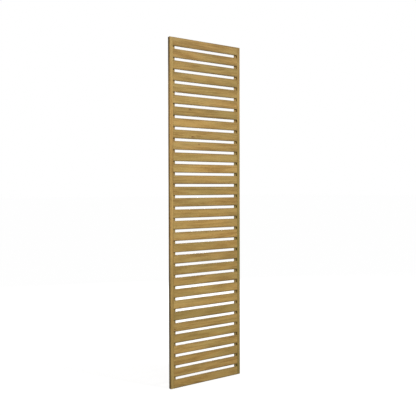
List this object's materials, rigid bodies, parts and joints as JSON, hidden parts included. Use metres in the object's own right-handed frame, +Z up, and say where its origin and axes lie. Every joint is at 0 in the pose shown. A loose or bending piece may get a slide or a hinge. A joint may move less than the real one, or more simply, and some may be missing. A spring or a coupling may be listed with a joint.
{
  "type": "slatted trellis panel",
  "caption": "Tall narrow garden trellis panel: flat horizontal timber slats with open gaps between them, lying on the tongues of two upright stiles.",
  "frame": {"origin": "on the ground, under the middle of the panel's width and depth", "axes": "+Z up along the stiles, +X to the right along the slats seen from the front, -Y out of the front face"},
  "size_m": [0.45, 0.017, 1.8],
  "materials": {
    "slat_timber": "planed, pressure treated",
    "stile_timber": "planed, pressure treated",
    "staple_wire": "galvanised wire"
  },
  "bodies": {
    "root": {"slat_01": "slat_timber", "slat_02": "slat_timber", "slat_03": "slat_timber", "slat_04": "slat_timber", "slat_05": "slat_timber", "slat_06": "slat_timber", "slat_07": "slat_timber", "slat_08": "slat_timber", "slat_09": "slat_timber", "slat_10": "slat_timber", "slat_11": "slat_timber", "slat_12": "slat_timber", "slat_13": "slat_timber", "slat_14": "slat_timber", "slat_15": "slat_timber", "slat_16": "slat_timber", "slat_17": "slat_timber", "slat_18": "slat_timber", "slat_19": "slat_timber", "slat_20": "slat_timber", "slat_21": "slat_timber", "slat_22": "slat_timber", "slat_23": "slat_timber", "slat_24": "slat_timber", "slat_25": "slat_timber", "slat_26": "slat_timber", "slat_27": "slat_timber", "slat_28": "slat_timber", "slat_29": "slat_timber", "slat_30": "slat_timber", "slat_31": "slat_timber", "left_stile": "stile_timber", "right_stile": "stile_timber", "left_staples": "staple_wire", "right_staples": "staple_wire"}
  },
  "joints": []
}
